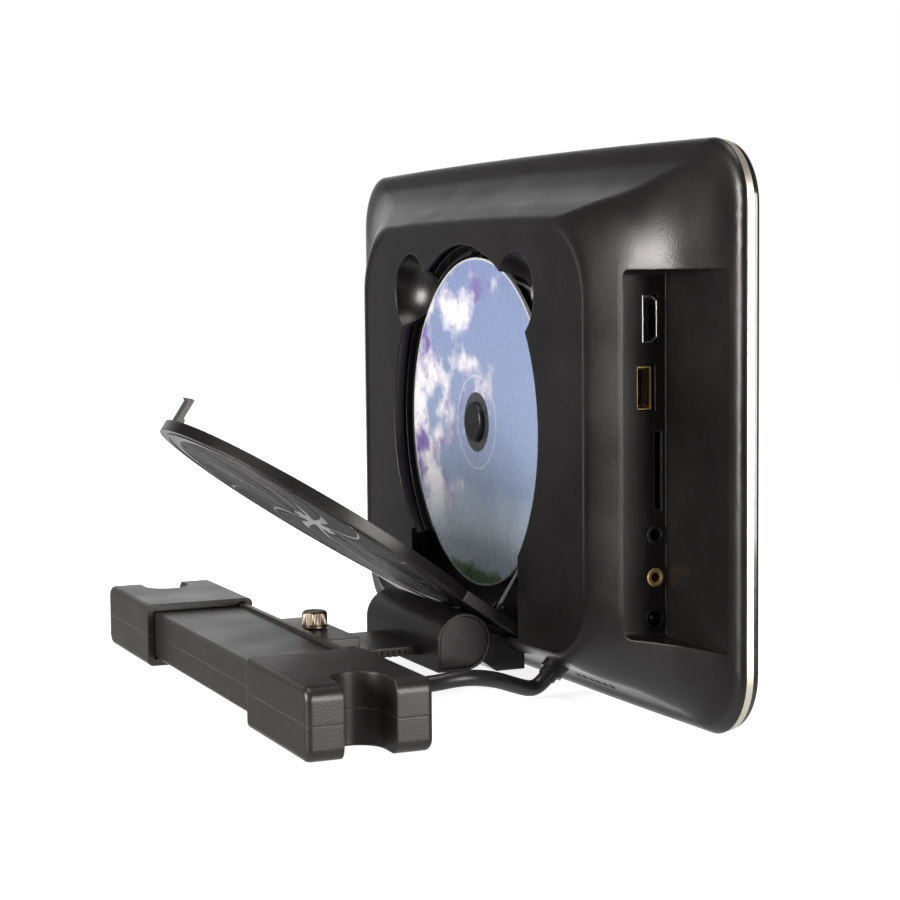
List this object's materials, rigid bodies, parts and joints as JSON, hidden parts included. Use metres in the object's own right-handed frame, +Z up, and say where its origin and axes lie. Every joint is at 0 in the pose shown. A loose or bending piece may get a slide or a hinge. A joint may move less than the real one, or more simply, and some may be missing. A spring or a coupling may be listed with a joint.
{
  "type": "headrest dvd player",
  "caption": "Screen head with an open disc bay, sockets and tilt hinge on its back, carried by an arm on a bar with two sliding jaws for headrest posts.",
  "frame": {"origin": "on the surface it stands on, under the middle of its box (cable left out)", "axes": "+X along the width, to the left as seen from behind; +Y from the screen to the headrest side; +Z up"},
  "size_m": [0.31, 0.1376, 0.186],
  "materials": {
    "shell_black": "fine-grained moulded black",
    "trim_silver": "satin anodised, slightly warm",
    "bezel_black": "polished black",
    "screen_glass": "dark hard-coated window",
    "panel": "display panel",
    "tray_steel": "folded sheet",
    "button_black": "satin black caps",
    "board_green": "solder-masked board",
    "deck_black": "satin black moulding",
    "steel": "bright steel",
    "stay_steel": "bright wire",
    "damper_rubber": "soft rubber",
    "disc_print": "printed label side of a polycarbonate disc",
    "lens_glass": "coated lens",
    "socket_gold": "gold-coloured plated shell",
    "socket_black": "black insulator",
    "speaker_black": "boxed speaker",
    "bracket_plastic": "moulded dark grey-black with a slight sheen",
    "knob_metal": "knurled, nickel plated",
    "latch_black": "black moulding",
    "cable_black": "smooth sheath"
  },
  "bodies": {
    "bracket": {"bar_upper": "bracket_plastic", "bar_lower": "bracket_plastic", "bar_screws": "steel", "bar_grommet": "cable_black", "signal_cable": "cable_black", "arm_plate": "bracket_plastic", "arm_socket": "bracket_plastic", "slide_plate": "bracket_plastic", "clamp_nut": "steel", "barrel_housing": "shell_black", "barrel_caps": "shell_black", "friction_washers": "steel"},
    "jaw_left": {"jaw_left_upper": "bracket_plastic", "jaw_left_lower": "bracket_plastic"},
    "jaw_right": {"jaw_right_upper": "bracket_plastic", "jaw_right_lower": "bracket_plastic"},
    "clamp_screw": {"thumb_screw": "knob_metal"},
    "head": {"rear_shell": "shell_black", "silver_trim": "trim_silver", "front_bezel": "bezel_black", "screen_window": "screen_glass", "lcd_panel": "panel", "backlight_tray": "tray_steel", "button_board": "board_green", "disc_deck": "deck_black", "deck_screws": "steel", "loader_plate": "steel", "loader_dampers": "damper_rubber", "spindle_motor": "steel", "sled_rods": "steel", "sled_motor": "steel", "main_board": "board_green", "port_board": "board_green", "hdmi_socket": "steel", "usb_socket": "socket_gold", "socket_tongues": "socket_black", "sd_slot": "steel", "av_jack": "socket_black", "headphone_jack": "socket_black", "dc_jack": "socket_black", "speakers": "speaker_black", "door_pins": "steel", "hinge_leaf": "shell_black", "leaf_screws": "steel", "tilt_shaft": "steel", "cable_gland": "cable_black"},
    "power": {"power_button": "button_black"},
    "source": {"source_button": "button_black"},
    "volume_down": {"volume_down_button": "button_black"},
    "volume_up": {"volume_up_button": "button_black"},
    "play": {"play_button": "button_black"},
    "door": {"disc_door": "shell_black", "latch_prong": "latch_black"},
    "stay": {"stay_rod": "stay_steel"},
    "spindle": {"spindle_hub": "deck_black", "hub_pad": "damper_rubber", "dvd_disc": "disc_print"},
    "sled": {"laser_sled": "deck_black", "laser_lens": "lens_glass"},
    "sled_drive": {"lead_screw": "steel"}
  },
  "joints": [
    {"name": "head_tilt", "type": "hinge", "parent": "bracket", "child": "head", "pos_m": [0, -0.0238, 0.017], "axis": [1, 0, 0], "range_deg": [-25, 30], "deforming": ["signal_cable"]},
    {"name": "door_hinge", "type": "hinge", "parent": "head", "child": "door", "pos_m": [0, -0.0442, 0.02], "axis": [1, 0, 0], "range_deg": [0, 56.6]},
    {"name": "stay_pivot", "type": "hinge", "parent": "door", "child": "stay", "pos_m": [-0.0358, -0.03636, 0.029], "axis": [1, 0, 0], "range_deg": [-94, 1]},
    {"name": "disc_spin", "type": "hinge", "parent": "head", "child": "spindle", "pos_m": [0.0082, -0.0485, 0.09], "axis": [0, 1, 0], "continuous": true},
    {"name": "sled_screw_turn", "type": "hinge", "parent": "head", "child": "sled_drive", "pos_m": [-0.0163, -0.0581, 0.106], "axis": [0, 0, 1], "range_deg": [0, 3125]},
    {"name": "sled_slide", "type": "slide", "parent": "head", "child": "sled", "axis": [0, 0, 1], "range_m": [0, 0.026]},
    {"name": "jaw_left_slide", "type": "slide", "parent": "bracket", "child": "jaw_left", "axis": [1, 0, 0], "range_m": [-0.012, 0.01]},
    {"name": "jaw_right_slide", "type": "slide", "parent": "bracket", "child": "jaw_right", "axis": [-1, 0, 0], "range_m": [-0.012, 0.01]},
    {"name": "clamp_screw_turn", "type": "hinge", "parent": "bracket", "child": "clamp_screw", "pos_m": [0, 0.019, 0.02], "axis": [0, 0, 1], "range_deg": [0, 360]},
    {"name": "power_press", "type": "slide", "parent": "head", "child": "power", "axis": [0, 1, 0], "range_m": [0, 0.0007], "stiffness_N_per_m": 400},
    {"name": "source_press", "type": "slide", "parent": "head", "child": "source", "axis": [0, 1, 0], "range_m": [0, 0.0007], "stiffness_N_per_m": 400},
    {"name": "volume_down_press", "type": "slide", "parent": "head", "child": "volume_down", "axis": [0, 1, 0], "range_m": [0, 0.0007], "stiffness_N_per_m": 400},
    {"name": "volume_up_press", "type": "slide", "parent": "head", "child": "volume_up", "axis": [0, 1, 0], "range_m": [0, 0.0007], "stiffness_N_per_m": 400},
    {"name": "play_press", "type": "slide", "parent": "head", "child": "play", "axis": [0, 1, 0], "range_m": [0, 0.0007], "stiffness_N_per_m": 400}
  ],
  "couplings": [
    {"joint": "stay_pivot", "follows": "door_hinge", "ratio": -1.62},
    {"joint": "sled_screw_turn", "follows": "sled_slide", "rad_per_m": 2094.4}
  ]
}
